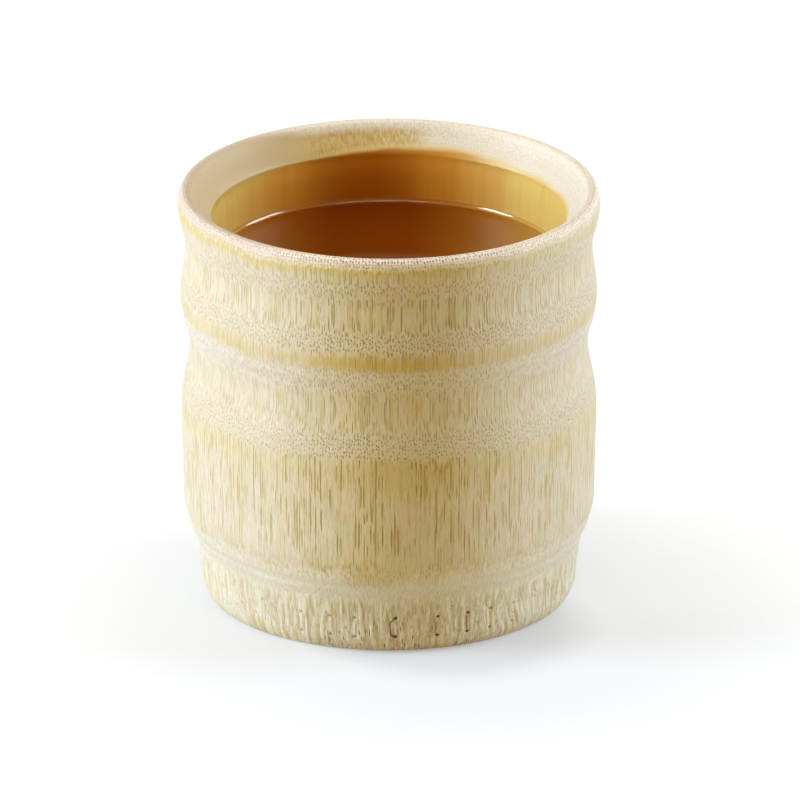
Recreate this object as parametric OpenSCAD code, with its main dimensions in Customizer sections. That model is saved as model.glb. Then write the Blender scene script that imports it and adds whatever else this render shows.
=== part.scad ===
// Turned bamboo cup. A short length from the thick-walled foot of a culm is bored out from above
// and turned outside into two swells, one at each of its upper nodes, over a drawn-in foot.
// The partition of its lowest node is left in place as the floor, and the inside is lacquered.
// The cup stands on z = 0 and its axis is the Z axis. Lengths are in millimetres.

/* [Body] */
// Height from the base to the crown of the lip
cup_h = 80.8; // [66:0.2:100]
// Diameter of the lower swell, which the other outside diameters are measured from
body_d = 78.8; // [68:0.2:96]
// Thickness of the wall at the mouth of the bore, measured in from the lower swell
wall_t = 5.8; // [5.2:0.1:8]

/* [Outline] */
// How far the lip stands out past the lower swell
lip_flare = 0.7; // [0:0.05:2]
// Depth of the neck under the lip
neck_depth = 0.75; // [0.1:0.05:2]
// How far the upper swell stands out past the lower swell
upper_swell_rise = 0.15; // [0:0.05:1]
// Depth of the waist between the two swells
waist_depth = 1.6; // [0.4:0.1:2.6]
// How far the shoulder over the foot lies inside the lower swell
shoulder_depth = 0.3; // [0:0.05:1]

/* [Foot] */
// Height of the drawn-in waist over the foot
foot_h = 8.8; // [7.4:0.2:12]
// Depth of that waist
foot_waist_depth = 3.25; // [1.5:0.05:4]
// How far the side of the foot lies inside the lower swell
foot_depth = 3.7; // [2:0.1:4.5]
// Height and width of the rounding under the side of the foot
foot_round_h = 5.1; // [2:0.1:6.4]
foot_round_w = 2.8; // [1:0.1:4]
// Width of the flat ring that the cup stands on
foot_ring_w = 4.6; // [3:0.1:6]
// Chamfer between that ring and the recess inside it
ring_chamfer = 0.9; // [0.3:0.1:1.6]

/* [Lip and bevel] */
// Thickness of the rounded lip, from its widest point to the inner edge
lip_t = 2.65; // [1.8:0.05:3.2]
// Height from the lip's widest point to its crown
lip_drop = 2.8; // [1.4:0.1:3.6]
// Height from the lip's inner edge to its crown
inner_edge_drop = 0.5; // [0.2:0.05:0.9]
// Depth of the hollowed bevel, from the crown to where its line meets the bore
bevel_h = 4.3; // [3.6:0.1:8]
// How far the worn edge between bevel and bore reaches along each of them
bore_edge_w = 1.1; // [0.4:0.1:1.4]

/* [Cavity] */
// How much narrower, in radius, the bore is at the bottom than at its mouth
bore_taper = 1.6; // [0.2:0.1:3]
// Radius of the hollow between the bore and the floor
corner_r = 8; // [6.5:0.5:11]
// Height of the recess under the floor, at the floor's edge
recess_h = 6; // [2:0.5:8]
// Thickness of the floor, from the recess up to its lowest place inside
floor_t = 6; // [3:0.5:9]
// How far the underside of the floor is dished at its centre
floor_dish = 1.2; // [0.3:0.1:2]

/* [Lacquer] */
// Thickness of the lacquer inside
lacquer_t = 0.3; // [0.2:0.05:0.5]
// Height over which the lacquer thins out at its upper edge
lacquer_fade = 1.2; // [0.4:0.1:3]

/* [Hidden] */

$fn = 64;

// Straight steps in each swell of the outline, and in each rounding
swell_steps = 6;
round_steps = 5;

// Heights of the outline's turning points, as shares of the way from foot_h to the lip's widest
// point. The lower and the upper swell each stand at a node.
shoulder_share = 0.166;
lower_swell_share = 0.434;
waist_share = 0.601;
upper_swell_share = 0.743;
neck_share = 0.883;

// Where the crown lies across the lip, as a share of its thickness from the outer side
crown_share = 0.56;
// How far the bevel is hollowed, as a share of the way from its straight line to the corner
hollow_share = 0.24;
// Slope at which the bevel runs out over the worn edge
bevel_toe_angle = 32;
// Handle length with which a cubic curve follows a quarter of an ellipse
quarter_share = 0.5523;

body_r = body_d / 2;
lip_r = body_r + lip_flare;
lip_z = cup_h - lip_drop;
crown = [lip_r - lip_t * crown_share, cup_h];
inner_edge = [lip_r - lip_t, cup_h - inner_edge_drop];

foot_r = body_r - foot_depth;
base_r = foot_r - foot_round_w;
seat_r = base_r - foot_ring_w;

bore_r = body_r - wall_t;
bore_edge = [bore_r, cup_h - bevel_h];
bore_mouth = bore_edge - [0, bore_edge_w];
bevel_toe = bore_edge + bore_edge_w * [cos(bevel_toe_angle), sin(bevel_toe_angle)];

floor_z = recess_h + floor_t;
corner_mid = [bore_r - bore_taper - corner_r, floor_z + corner_r];
// Angles below the horizontal, seen from corner_mid, at which the hollow between bore and floor
// meets the tapered bore and the edge of the floor
bore_angle = atan(bore_taper / (bore_mouth.y - corner_mid.y));
seat_angle = acos((seat_r - corner_mid.x) / corner_r);

// Points of a cubic curve, without its first one
function cubic(a, b, c, d, steps) = [
    for (i = [1 : steps])
        let (t = i / steps, s = 1 - t)
            s * s * s * a + 3 * s * s * t * b + 3 * s * t * t * c + t * t * t * d
];

// A smooth change of radius between two turning points, upright at both ends
function swell(a, b) = cubic(
    a, [a.x, a.y + (b.y - a.y) / 3], [b.x, b.y - (b.y - a.y) / 3], b, swell_steps
);

// A rounding that leaves a towards the corner and reaches b from it, without its first point
function rounding(a, corner, b) = cubic(
    a, a + (corner - a) * quarter_share, b + (corner - b) * quarter_share, b, round_steps
);

// Height at a share of the way from the foot's waist to the widest point of the lip
function body_z(share) = foot_h + (lip_z - foot_h) * share;

// Turning points of the outside, from the top of the foot's rounding up to the lip
turning_points = [
    [foot_r, foot_round_h],
    [body_r - foot_waist_depth, foot_h],
    [body_r - shoulder_depth, body_z(shoulder_share)],
    [body_r, body_z(lower_swell_share)],
    [body_r - waist_depth, body_z(waist_share)],
    [body_r + upper_swell_rise, body_z(upper_swell_share)],
    [body_r - neck_depth, body_z(neck_share)],
    [lip_r, lip_z]
];

// The outside, from the inner side of the standing ring up to the crown of the lip
function outside() = concat(
    [[seat_r, ring_chamfer], [seat_r + ring_chamfer, 0], [base_r, 0]],
    rounding([base_r, 0], [foot_r, 0], turning_points[0]),
    [
        for (i = [1 : len(turning_points) - 1])
            each swell(turning_points[i - 1], turning_points[i])
    ],
    rounding([lip_r, lip_z], [lip_r, cup_h], crown)
);

// The bevel inside the lip, from the crown down to the mouth of the bore
function bevel() = let (
    corner = [inner_edge.x, bevel_toe.y],
    middle = (inner_edge + bevel_toe) / 2,
    hollow = middle + (corner - middle) * hollow_share
) concat(
    rounding(crown, [inner_edge.x, cup_h], inner_edge),
    cubic(inner_edge, hollow, bevel_toe + (bevel_toe - bore_edge), bevel_toe, swell_steps),
    rounding(bevel_toe, bore_edge, bore_mouth)
);

// The hollow between bore and floor, from one angle to another, set in by a coat's thickness
function corner_arc(inset, from, to, first_step) = [
    for (i = [first_step : round_steps])
        let (a = from + (to - from) * i / round_steps)
            corner_mid + (corner_r - inset) * [cos(a), -sin(a)]
];

// The inside below the mouth of the bore, set in by a coat's thickness
function inside(inset) = concat(
    corner_arc(inset, bore_angle, seat_angle, 0),
    corner_arc(inset, seat_angle, 90, 1),
    [[0, floor_z + inset]]
);

function reversed(points) = [for (i = [len(points) - 1 : -1 : 0]) points[i]];

// The underside of the floor, from its centre to its edge
function dish() = [
    for (i = [0 : round_steps])
        let (t = i / round_steps)
            [seat_r * t, recess_h + floor_dish * (1 - t * t)]
];

// Bored and turned length of culm, whose foot carries the floor
module culm_wall()
    color("#e6d8ad")
        rotate_extrude()
            polygon(concat(
                outside(),
                bevel(),
                corner_arc(0, bore_angle, seat_angle, 0)
            ));

// Partition of the lowest node, which closes the culm
module node_floor()
    color("#d3bd86")
        rotate_extrude()
            polygon(concat(
                dish(),
                corner_arc(0, seat_angle, 90, 0),
                [[0, floor_z]]
            ));

// Coat of lacquer over the bore and the floor
module lacquer_lining()
    color("#8f4d12")
        rotate_extrude()
            polygon(concat(
                [bore_mouth],
                inside(0),
                reversed(inside(lacquer_t)),
                [bore_mouth - [lacquer_t, lacquer_fade]]
            ));

culm_wall();
node_floor();
lacquer_lining();
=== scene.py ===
# %% [markdown]
# A bamboo cup, dressed for its portrait. The cup was turned from a thick length of bamboo: a wavy
# outside, a rounded lip with a hollowed bevel, a bore, and the plant's own partition as the floor.
# The CAD model gives every size. This lesson adds what the eye looks for: fibres, nodes, root scars,
# lacquer, tea and light. We start by loading the CAD model, and nothing in it is moved.

# %% Load the frame
import math
import random
from collections import namedtuple

import bpy
import numpy as np
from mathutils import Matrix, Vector, noise


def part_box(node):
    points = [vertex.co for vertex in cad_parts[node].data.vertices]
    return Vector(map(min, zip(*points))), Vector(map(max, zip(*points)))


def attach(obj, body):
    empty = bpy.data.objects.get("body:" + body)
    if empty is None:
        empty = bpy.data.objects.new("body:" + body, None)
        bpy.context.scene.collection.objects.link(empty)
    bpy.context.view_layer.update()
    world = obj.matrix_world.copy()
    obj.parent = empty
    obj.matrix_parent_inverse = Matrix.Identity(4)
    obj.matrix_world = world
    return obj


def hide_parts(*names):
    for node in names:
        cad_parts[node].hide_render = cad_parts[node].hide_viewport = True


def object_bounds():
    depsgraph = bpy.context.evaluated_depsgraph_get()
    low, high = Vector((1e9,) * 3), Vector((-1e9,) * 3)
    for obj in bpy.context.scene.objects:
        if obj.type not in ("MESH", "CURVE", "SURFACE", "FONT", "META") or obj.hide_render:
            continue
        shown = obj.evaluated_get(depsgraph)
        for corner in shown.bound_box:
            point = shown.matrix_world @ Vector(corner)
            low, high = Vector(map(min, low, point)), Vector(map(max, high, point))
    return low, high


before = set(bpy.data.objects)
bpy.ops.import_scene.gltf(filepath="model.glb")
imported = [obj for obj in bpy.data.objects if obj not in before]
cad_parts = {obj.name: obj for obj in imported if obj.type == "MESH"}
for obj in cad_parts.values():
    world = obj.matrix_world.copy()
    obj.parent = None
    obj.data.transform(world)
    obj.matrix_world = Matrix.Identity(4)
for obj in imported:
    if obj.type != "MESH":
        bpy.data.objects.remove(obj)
cad_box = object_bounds()
MM = 0.001
print("CAD nodes:", ", ".join(sorted(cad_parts)))
print("CAD box, mm:", [[round(c / MM, 1) for c in corner] for corner in cad_box])

# %% [markdown]
# The camera comes first, because every later choice is judged through it. The photographer stood far
# off with a long lens, so the cup shows almost no perspective: its rim and its base are ellipses of
# nearly the same shape. We copy that with a camera 5 m away and a lens to match.

# %% Camera
CAMERA_DISTANCE = 5.0
CAMERA_ELEVATION = math.radians(20.6)
FRAME_WIDTH = 151.7 * MM
AIM = Vector((2.1 * MM, 0, 38.1 * MM))
NEAR_CLIP, FAR_CLIP = 0.1, 20.0


def placed(name, data):
    thing = bpy.data.objects.new(name, data)
    bpy.context.scene.collection.objects.link(thing)
    return thing


camera = placed("camera", bpy.data.cameras.new("camera"))
to_camera = Vector((0, -math.cos(CAMERA_ELEVATION), math.sin(CAMERA_ELEVATION)))
camera.location = AIM + CAMERA_DISTANCE * to_camera
camera.rotation_euler = (math.pi / 2 - CAMERA_ELEVATION, 0, 0)
camera.data.lens = camera.data.sensor_width * CAMERA_DISTANCE / FRAME_WIDTH
camera.data.clip_start, camera.data.clip_end = NEAR_CLIP, FAR_CLIP
bpy.context.scene.camera = camera
print("lens:", round(camera.data.lens), "mm")

# %% [markdown]
# The cup is a turned shape, so its half section says it all. The CAD wall already has that section:
# each of its corners lies on a ring round the axis. We collect the rings, then walk from one to the
# nearest next one, from the outer edge of the foot up the outside, over the lip and down the bore.

# %% Read the turned section off the CAD wall
ROUND_TO = 5
STRAIGHT_RUN, NEAR_END = 8 * MM, 0.4 * MM


def rings_of(node):
    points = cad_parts[node].data.vertices
    return {(round(math.hypot(v.co.x, v.co.y), ROUND_TO), round(v.co.z, ROUND_TO)) for v in points}


def walk(rings, start):
    here, left, path = start, set(rings) - {start}, [start]
    while left:
        here = min(left, key=lambda ring: math.dist(ring, here))
        left.remove(here)
        path.append(here)
    return np.array(path)


def steadied(path):
    """Adds a point close to each end of a long straight run, so that a curve can't bend it."""
    points = [path[0]]
    for here, there in zip(path[:-1], path[1:]):
        length = math.dist(here, there)
        if length > STRAIGHT_RUN:
            share = NEAR_END / length
            points += [here + (there - here) * share, there - (there - here) * share]
        points.append(there)
    return np.array(points)


wall_rings = rings_of("culm_wall")
foot_edge = max((ring for ring in wall_rings if ring[1] == 0), key=lambda ring: ring[0])
section = walk(wall_rings, foot_edge)
section = steadied(np.vstack([section, section[:1]]))
print("points in the section:", len(section) - 1)

# %% [markdown]
# The CAD section is made of short straight steps. A curve through the same points is what the lathe
# left, so we pass a smooth curve through them that never swings past a high or a low point.

# %% Smooth the section
def slopes_at(distance, value):
    """The slope at each point: a mean of its two neighbours', and none where they turn back."""
    step = np.diff(distance)
    slope = np.diff(value) / step
    before, after = slope[:-1], slope[1:]
    wide, narrow = 2 * step[1:] + step[:-1], step[1:] + 2 * step[:-1]
    same_way = before * after > 0
    safe_before = np.where(same_way, before, 1)
    safe_after = np.where(same_way, after, 1)
    middle = np.where(same_way, (wide + narrow) / (wide / safe_before + narrow / safe_after), 0)
    return np.concatenate([slope[:1], middle, slope[-1:]])


def curve_through(distance, value, wanted):
    slope = slopes_at(distance, value)
    at = np.clip(np.searchsorted(distance, wanted, side="right") - 1, 0, len(distance) - 2)
    step = distance[at + 1] - distance[at]
    t = (wanted - distance[at]) / step
    rise = t * t * (3 - 2 * t)
    leave = t * (1 - t) ** 2 * step
    reach = t * t * (t - 1) * step
    return value[at] * (1 - rise) + value[at + 1] * rise + slope[at] * leave + slope[at + 1] * reach


walked = np.concatenate([[0], np.cumsum(np.hypot(*np.diff(section, axis=0).T))])


def on_section(distance):
    radius = curve_through(walked, section[:, 0], distance)
    height = curve_through(walked, section[:, 1], distance)
    return radius, height


FINE_STEP = 0.05 * MM
fine = np.arange(0, walked[-1], FINE_STEP)
fine_r, fine_z = on_section(fine)
lip_at = int(np.argmax(fine_r))
crown_at = int(np.argmax(fine_z))
bore_mouth_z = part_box("lacquer_lining")[1].z
mouth_at = crown_at + int(np.argmax(fine_z[crown_at:] <= bore_mouth_z))
print("widest, mm:", round(fine_r[lip_at] / MM, 2), "at height", round(fine_z[lip_at] / MM, 1))

# %% [markdown]
# Brush, cloth and thumb rub the edge where the bevel meets the bore, and it ends up softer than any
# tool left it. We rub it by swapping the last few millimetres above the bore for one longer curve.

# %% Ease the worn edge
EASE_LENGTH, EASE_HANDLE = 3.3 * MM, 0.55
ease_from, ease_to = fine[mouth_at] - EASE_LENGTH, fine[mouth_at]


def point_at(distance):
    return np.array(on_section(np.array([distance]))).ravel()


def eased_section(distance):
    """The section, with the worn edge between bevel and bore rubbed to a longer, softer curve."""
    radius, height = on_section(distance)
    start, after, end = point_at(ease_from), point_at(ease_from + FINE_STEP), point_at(ease_to)
    drop = (after - start)[1] / (after - start)[0]
    corner = np.array([end[0], start[1] + drop * (end[0] - start[0])])
    leave = start + (corner - start) * EASE_HANDLE
    reach = end + (corner - end) * EASE_HANDLE
    t = np.clip((distance - ease_from) / (ease_to - ease_from), 0, 1)[:, None]
    s = 1 - t
    curve = s ** 3 * start + 3 * t * s ** 2 * leave + 3 * t ** 2 * s * reach + t ** 3 * end
    worn = (distance > ease_from) & (distance < ease_to)
    return np.where(worn, curve[:, 0], radius), np.where(worn, curve[:, 1], height)


fine_r, fine_z = eased_section(fine)
print("worn edge, mm:", round(ease_from / MM, 1), "to", round(ease_to / MM, 1), "along the section")

# %% [markdown]
# The mesh needs small faces only where there is small shape: the rough foot, the lip and the bevel.
# The smooth body gets longer ones, and the bore, which the lacquer hides, only a few. From the hollow
# over the floor down to the standing ring, the rows lie at the section's own corners.

# %% Choose the rows of the wall's mesh
FOOT_ZONE, LIP_ZONE = 13 * MM, 4.5 * MM
FOOT_ROW, BODY_ROW, LIP_ROW, HIDDEN_ROW = 0.34 * MM, 1.1 * MM, 0.36 * MM, 6 * MM
HIDDEN_BELOW = bore_mouth_z - 2 * MM
CORNER_GAP = 1 * MM
crown_z = cad_box[1].z
HOLLOW_TOP = 0.3 * crown_z


def row_height(height, inside):
    if inside and height < HIDDEN_BELOW:
        return HIDDEN_ROW
    if inside or height > crown_z - LIP_ZONE:
        return LIP_ROW
    return FOOT_ROW if height < FOOT_ZONE else BODY_ROW


corners = walked[:-1][(walked[:-1] > fine[crown_at]) & (section[:-1, 1] < HOLLOW_TOP)]
rows, here = [], 0.0
while here < corners[0] - CORNER_GAP:
    rows.append(here)
    at = int(here / FINE_STEP)
    here += row_height(fine_z[at], at > crown_at)
rows = np.concatenate([rows, corners])
row_r, row_z = eased_section(rows)
print("rows:", len(rows), "of which at corners:", len(corners))

# %% [markdown]
# Every point of the wall's mesh has two addresses. One is its place on the cup: how far round it is,
# and how high. The other says where the surface cuts the plant: how deep it lies in the culm. We work
# both out in millimetres, as grids with one row for each ring and one column for each turn step.
# Past the lip's widest point, the height counts on along the section.

# %% Addresses of the wall's points
COLUMNS = 720
PATTERN_R = 39.0
OUTSIDE_END = 80
SEED_STEP = 17.3


def spread(per_row, columns):
    """A grid with one value for each row, the same in all its columns."""
    return np.repeat(np.reshape(per_row, (-1, 1)), columns, axis=1)


turn = np.arange(COLUMNS) * (2 * math.pi / COLUMNS)
turn = np.where(turn > math.pi, turn - 2 * math.pi, turn)[None, :]
radius_mm = spread(row_r / MM, COLUMNS)
height_mm = spread(row_z / MM, COLUMNS)
around_mm = np.repeat(turn * PATTERN_R, len(rows), axis=0)
past_lip = (rows - fine[lip_at]) / MM
along_row = np.where(past_lip > 0, fine_z[lip_at] / MM + past_lip, row_z / MM)
along_mm = spread(along_row, COLUMNS)
outside = along_mm < OUTSIDE_END


def blend(value, low, high):
    """0 below low, 1 above high, and a soft rise between. Swapped, it falls."""
    t = np.clip((value - low) / (high - low), 0, 1)
    return t * t * (3 - 2 * t)


def wander(across, up, seed):
    """Smooth noise over the wall. Its lumps are about `across` mm wide and `up` mm high."""
    spot_x = PATTERN_R * np.sin(turn[0]) / across
    spot_y = PATTERN_R * np.cos(turn[0]) / across
    value = np.empty(height_mm.shape)
    for row in range(len(rows)):
        level = along_row[row] / up + seed * SEED_STEP
        value[row] = [noise.noise(Vector((x, y, level))) for x, y in zip(spot_x, spot_y)]
    return value


print("points in the wall:", height_mm.size)

# %% [markdown]
# A cup from a lathe is round, but bamboo isn't: it dries, shrinks a little and keeps the marks of
# the knife. The outside wanders in and out by a tenth of a millimetre. At the foot the grain is
# coarse and was torn as it was cut, which leaves long thin grooves between the fibres. In two places,
# as radians from the middle, it is calmer.

# %% Wandering outside and torn fibres
HAND_WANDER = 0.1
WANDER_ENDS = (81.5, 79.5)
GROOVE_DEPTH, GROOVE_WIDTH, FINE_SHARE = 0.13, 0.2, 0.6
TORN_TOP, TORN_BOTTOM = (12.5, 9.0), (0.0, 0.8)
CALM_SPREAD = 0.45
CALM_PLACES = ((-1.1, 0.8), (1.35, 0.45))
LEAN_AT, LEAN_SPREAD, LEAN, LEAN_WANDER = 0.7, (0.6, 0.1), 0.22, 0.12
LEAN_FROM = 6
SLIP = 0.9

torn = blend(height_mm, *TORN_TOP) * blend(height_mm, *TORN_BOTTOM) * outside
for calm_at, share in CALM_PLACES:
    torn = torn * (1 - share * np.exp(-((turn - calm_at) / CALM_SPREAD) ** 2))
lean = LEAN * blend(np.abs(turn - LEAN_AT), *LEAN_SPREAD) + LEAN_WANDER * wander(16, 30, 1)
slip = SLIP * wander(5, 9, 2) + lean * (height_mm - LEAN_FROM)
shrink = HAND_WANDER * (1 + wander(22, 26, 3)) * blend(along_mm, *WANDER_ENDS)


def grooves(across, up, seed):
    """Narrow valleys that run up the culm, where two lumps of noise meet."""
    value = np.ones(height_mm.shape)
    for row in np.nonzero(torn[:, 0] > 0)[0]:
        angle = (around_mm[row] + slip[row]) / PATTERN_R
        level = height_mm[row, 0] / up + seed * SEED_STEP
        for column in range(COLUMNS):
            x = PATTERN_R * math.sin(angle[column]) / across
            y = PATTERN_R * math.cos(angle[column]) / across
            value[row, column] = abs(noise.noise(Vector((x, y, level))))
    return np.clip(1 - value / GROOVE_WIDTH, 0, 1)


groove = grooves(0.9, 11, 4) + FINE_SHARE * grooves(0.55, 7, 5)
fibre_cut = torn * GROOVE_DEPTH * groove
print("deepest groove, mm:", round(float(fibre_cut.max()), 2))

# %% [markdown]
# Roots once grew in a ring round the foot. Each left a scar: a small disc with a crack along one
# side and a pit at each end of the crack. We note where the scars are, so that the mesh can sink
# there and the material can draw the crack in the same place. The photo shows eight, written as
# degrees from the middle and strength, and chance sets the rest.

# %% Root scars
SCAR_HEIGHT, SCAR_R = 5.5, 36
SCAR_HALF_W, SCAR_HALF_H = 1.25, 1.95
SEEN_SCARS = (
    (-27, 0.42), (-17.5, 0.48), (-9.8, 0.48), (2.6, 1.0),
    (15.5, 0.9), (25.2, 0.8), (33, 0.5), (41.5, 0.4),
)
SCAR_STEP, STEP_CHANCE, HEIGHT_CHANCE = 9.4, 1.2, 0.9
BACK, FRONT_SHARE, STRENGTH_RANGE = (100, 280), 0.3, (0.3, 1.0)
CRACK_WIDTH, CRACK_SIDE, CRACK_DEPTH, CRACKED_FROM = 0.16, (0.2, -0.4), 0.16, 0.95
PIT_ACROSS, PIT_SIZE, PIT_DEPTH = -0.35, 0.32, 0.42
FAR_OFF = 99.0

random.seed(4)
scars = [(math.radians(angle), SCAR_HEIGHT, strength) for angle, strength in SEEN_SCARS]
angle = SEEN_SCARS[-1][0] + SCAR_STEP
while angle < 360 + SEEN_SCARS[0][0] - SCAR_STEP / 2:
    lift = random.uniform(-HEIGHT_CHANCE, HEIGHT_CHANCE)
    shown_share = 1.0 if BACK[0] < angle < BACK[1] else FRONT_SHARE
    strength = shown_share * random.uniform(*STRENGTH_RANGE)
    scars.append((math.radians(angle), SCAR_HEIGHT + lift, strength))
    angle += SCAR_STEP + random.uniform(-STEP_CHANCE, STEP_CHANCE)

scar_across = np.full(height_mm.shape, FAR_OFF)
scar_up = np.zeros(height_mm.shape)
scar_strength = np.zeros(height_mm.shape)
for middle, level, strength in scars:
    across = ((turn - middle + math.pi) % (2 * math.pi) - math.pi) * SCAR_R + 0 * height_mm
    nearer = np.abs(across) < np.abs(scar_across)
    scar_across = np.where(nearer, across, scar_across)
    scar_up = np.where(nearer, height_mm - level, scar_up)
    scar_strength = np.where(nearer, strength, scar_strength)

ring_gap = np.hypot(scar_across / SCAR_HALF_W, scar_up / SCAR_HALF_H) - 1
crack = np.exp(-(ring_gap / CRACK_WIDTH) ** 2) * blend(scar_across, *CRACK_SIDE)
crack = CRACK_DEPTH * crack * (scar_strength > CRACKED_FROM)
pits = sum(
    np.exp(-(np.hypot(scar_across - PIT_ACROSS, scar_up - end) / PIT_SIZE) ** 2)
    for end in (SCAR_HALF_H, -SCAR_HALF_H)
)
scar_cut = outside * scar_strength * (crack + PIT_DEPTH * pits)
print("root scars:", len(scars))

# %% [markdown]
# Every piece of this cup is a ring of one kind or another, so one helper spins them all. It takes
# the radius and the height of each point, row by row, and joins the last row to the first. A row of
# no radius is a pole, which becomes a single point, so that no face there is folded to nothing.
# Where two faces meet at more than 70 degrees, the edge between them is shown sharp.

# %% Spin the rows into a wall
SHARP_ANGLE = math.radians(70)
POLE_R = 0.001 * MM


def spin(name, radius, height):
    """Radius and height are (rows, columns) grids, in metres."""
    count, columns = radius.shape
    angle = np.arange(columns) * (2 * math.pi / columns)
    spots = np.stack([radius * np.sin(angle), -radius * np.cos(angle), height], axis=-1)
    pole = radius.max(axis=1) < POLE_R
    points, index = [], []
    for row in range(count):
        first, kept = len(points), 1 if pole[row] else columns
        index.append([first + side % kept for side in range(columns)])
        points += spots[row, :kept].tolist()
    faces = []
    for row in range(count):
        low, high = index[row], index[(row + 1) % count]
        for side in range(columns):
            after = (side + 1) % columns
            face = dict.fromkeys((low[side], low[after], high[after], high[side]))
            if len(face) > 2:
                faces.append(tuple(face))
    mesh = bpy.data.meshes.new(name)
    mesh.from_pydata(points, [], faces)
    mesh.polygons.foreach_set("use_smooth", [True] * len(faces))
    mesh.set_sharp_from_angle(angle=SHARP_ANGLE)
    return placed(name, mesh)


cut_mm = (shrink + fibre_cut + scar_cut) * outside
wall = spin("turned_wall", (radius_mm - cut_mm) * MM, height_mm * MM)
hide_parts("culm_wall")
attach(wall, "root")
print("wall faces:", len(wall.data.polygons))

# %% [markdown]
# Bamboo is full of dark strands that run up the culm, about 0.8 mm apart. Where the surface follows
# them they show as long streaks, and where it cuts across them, as at a node or on the lip, they show
# as dots. So we never draw streaks or dots. We give each point its depth in the culm, and one pattern
# of strands does the rest. At the nodes the strands bend, which is an extra change of depth there.

# %% Depth in the culm
OUTER_R = 40.1
# From one height to the next, the strands bend outward by so many millimetres.
BENDS = (
    (11.0, 15.2, 2.4), (40.2, 44.8, 2.3), (53.2, 58.8, 3.4),
    (61.6, 65.6, 2.1), (72.2, 76.4, 2.8), (78.4, 81.0, 2.0),
)
SLANT = 0.1
BODY_END = (78.5, 77.0)
LOW_BODY_FROM, LOW_BODY_TO = (15, 20), (42, 38)

on_body = blend(along_mm, *BODY_END) * outside
low_body = blend(along_mm, *LOW_BODY_FROM) * blend(along_mm, *LOW_BODY_TO) * outside
border_sway = 0.55 * wander(9, 200, 6) + 0.25 * wander(2.2, 200, 7)
along_wavy = along_mm + border_sway * outside
depth = OUTER_R - radius_mm
slant = 0 * depth
for low, high, bend in BENDS:
    ramp_up = np.clip((along_wavy - low) / (high - low), 0, 1)
    depth = depth + bend * ramp_up * outside
    slant = slant + SLANT * bend * ramp_up
depth = depth + on_body * (0.48 * wander(1.0, 13, 8) + 0.30 * wander(4, 24, 9))
depth = depth + low_body * 0.50 * wander(0.9, 5.5, 12)
sway = on_body * (0.06 * wander(1.8, 14, 10) + 0.15 * wander(9, 20, 11)) + slip * torn + slant


def note_on(mesh, name, kind, field, values):
    mesh.attributes.new(name, kind, "POINT").data.foreach_set(field, values.ravel())


numbers = {"depth": depth, "sway": sway, "along": along_wavy, "torn": torn * np.clip(groove, 0, 1)}
for name, values in numbers.items():
    note_on(wall.data, name, "FLOAT", "value", values)
scar_note = np.stack([scar_across, scar_up, scar_strength * outside], axis=-1)
note_on(wall.data, "root_scar", "FLOAT_VECTOR", "vector", scar_note)
print("depth, mm:", round(float(depth.min()), 1), "to", round(float(depth.max()), 1))

# %% [markdown]
# Each material is a small recipe of nodes. These steps keep a recipe short to write: any input can be
# a plain number, a colour or the output of an earlier node. Each step adds its node to `tree`, which
# stands for the recipe in hand.

# %% Steps for writing materials
def opened(holder):
    """A new material or world, with the tree of nodes in it."""
    holder.use_nodes = True
    return holder, holder.node_tree


def feed(socket, value):
    if isinstance(value, bpy.types.NodeSocket):
        tree.links.new(value, socket)
    else:
        socket.default_value = (*value, 1) if socket.type == "RGBA" else value


def add(kind, inputs=None, **settings):
    node = tree.nodes.new("ShaderNode" + kind)
    for name, value in settings.items():
        setattr(node, name, value)
    for name, value in (inputs or {}).items():
        feed(node.inputs[name], value)
    return node


def shade(**inputs):
    for name, value in inputs.items():
        feed(tree.nodes["Principled BSDF"].inputs[name.replace("_", " ")], value)


def maths(operation, a, b=0.0, c=0.0):
    return add("Math", {0: a, 1: b, 2: c}, operation=operation).outputs[0]


def times(first, *others):
    for other in others:
        first = maths("MULTIPLY", first, other)
    return first


def plus(a, b):
    return maths("ADD", a, b)


def minus(a, b):
    return maths("SUBTRACT", a, b)


def over(a, b):
    return maths("DIVIDE", a, b)


def most(a, b):
    return maths("MAXIMUM", a, b)


def scaled(value, factor, start):
    """start + value * factor"""
    return maths("MULTIPLY_ADD", value, factor, start)


def faded(value, where, share):
    """The value, less a share of itself where it says."""
    return times(value, scaled(where, -share, 1.0))


def off(value, middle):
    """How far the value lies from the middle, on either side."""
    return maths("ABSOLUTE", minus(value, middle))


def rise(value, low, high, to_low=0.0, to_high=1.0):
    inputs = {"Value": value, "From Min": low, "From Max": high, "To Min": to_low, "To Max": to_high}
    return add("MapRange", inputs, interpolation_type="SMOOTHSTEP").outputs[0]


def hill(value, low, top_from, top_to, high):
    """0 outside low and high, and 1 on the top between."""
    return times(rise(value, low, top_from), rise(value, high, top_to))


def between(share, first, second):
    return add("Mix", {0: share, 2: first, 3: second}).outputs[0]


def mix(share, first, second, way="MIX"):
    node = add("Mix", data_type="RGBA", blend_type=way, clamp_factor=True)
    for at, value in ((0, share), (6, first), (7, second)):
        feed(node.inputs[at], value)
    return node.outputs[2]


def painted(ground, colour, *shares):
    """The ground, covered by a colour where all the shares are high."""
    return mix(times(*shares), ground, colour)


def tinted(ground, colour, *shares):
    """The ground, multiplied by a colour where all the shares are high."""
    return mix(times(*shares), ground, colour, "MULTIPLY")


def toned(off_middle, spans, deep, middle, pale):
    """Three tones, from the middle out. Each span is where one gives way to the next."""
    colour = mix(rise(off_middle, *spans[0]), deep, middle)
    return painted(colour, pale, rise(off_middle, *spans[1]))


def lumps(vector, across, up, detail=2.0):
    scale = (1 / across, 1 / across, 1 / up)
    spot = add("VectorMath", {0: vector, 1: scale}, operation="MULTIPLY").outputs[0]
    return add("TexNoise", {"Vector": spot, "Scale": 1.0, "Detail": detail}).outputs["Fac"]


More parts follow.
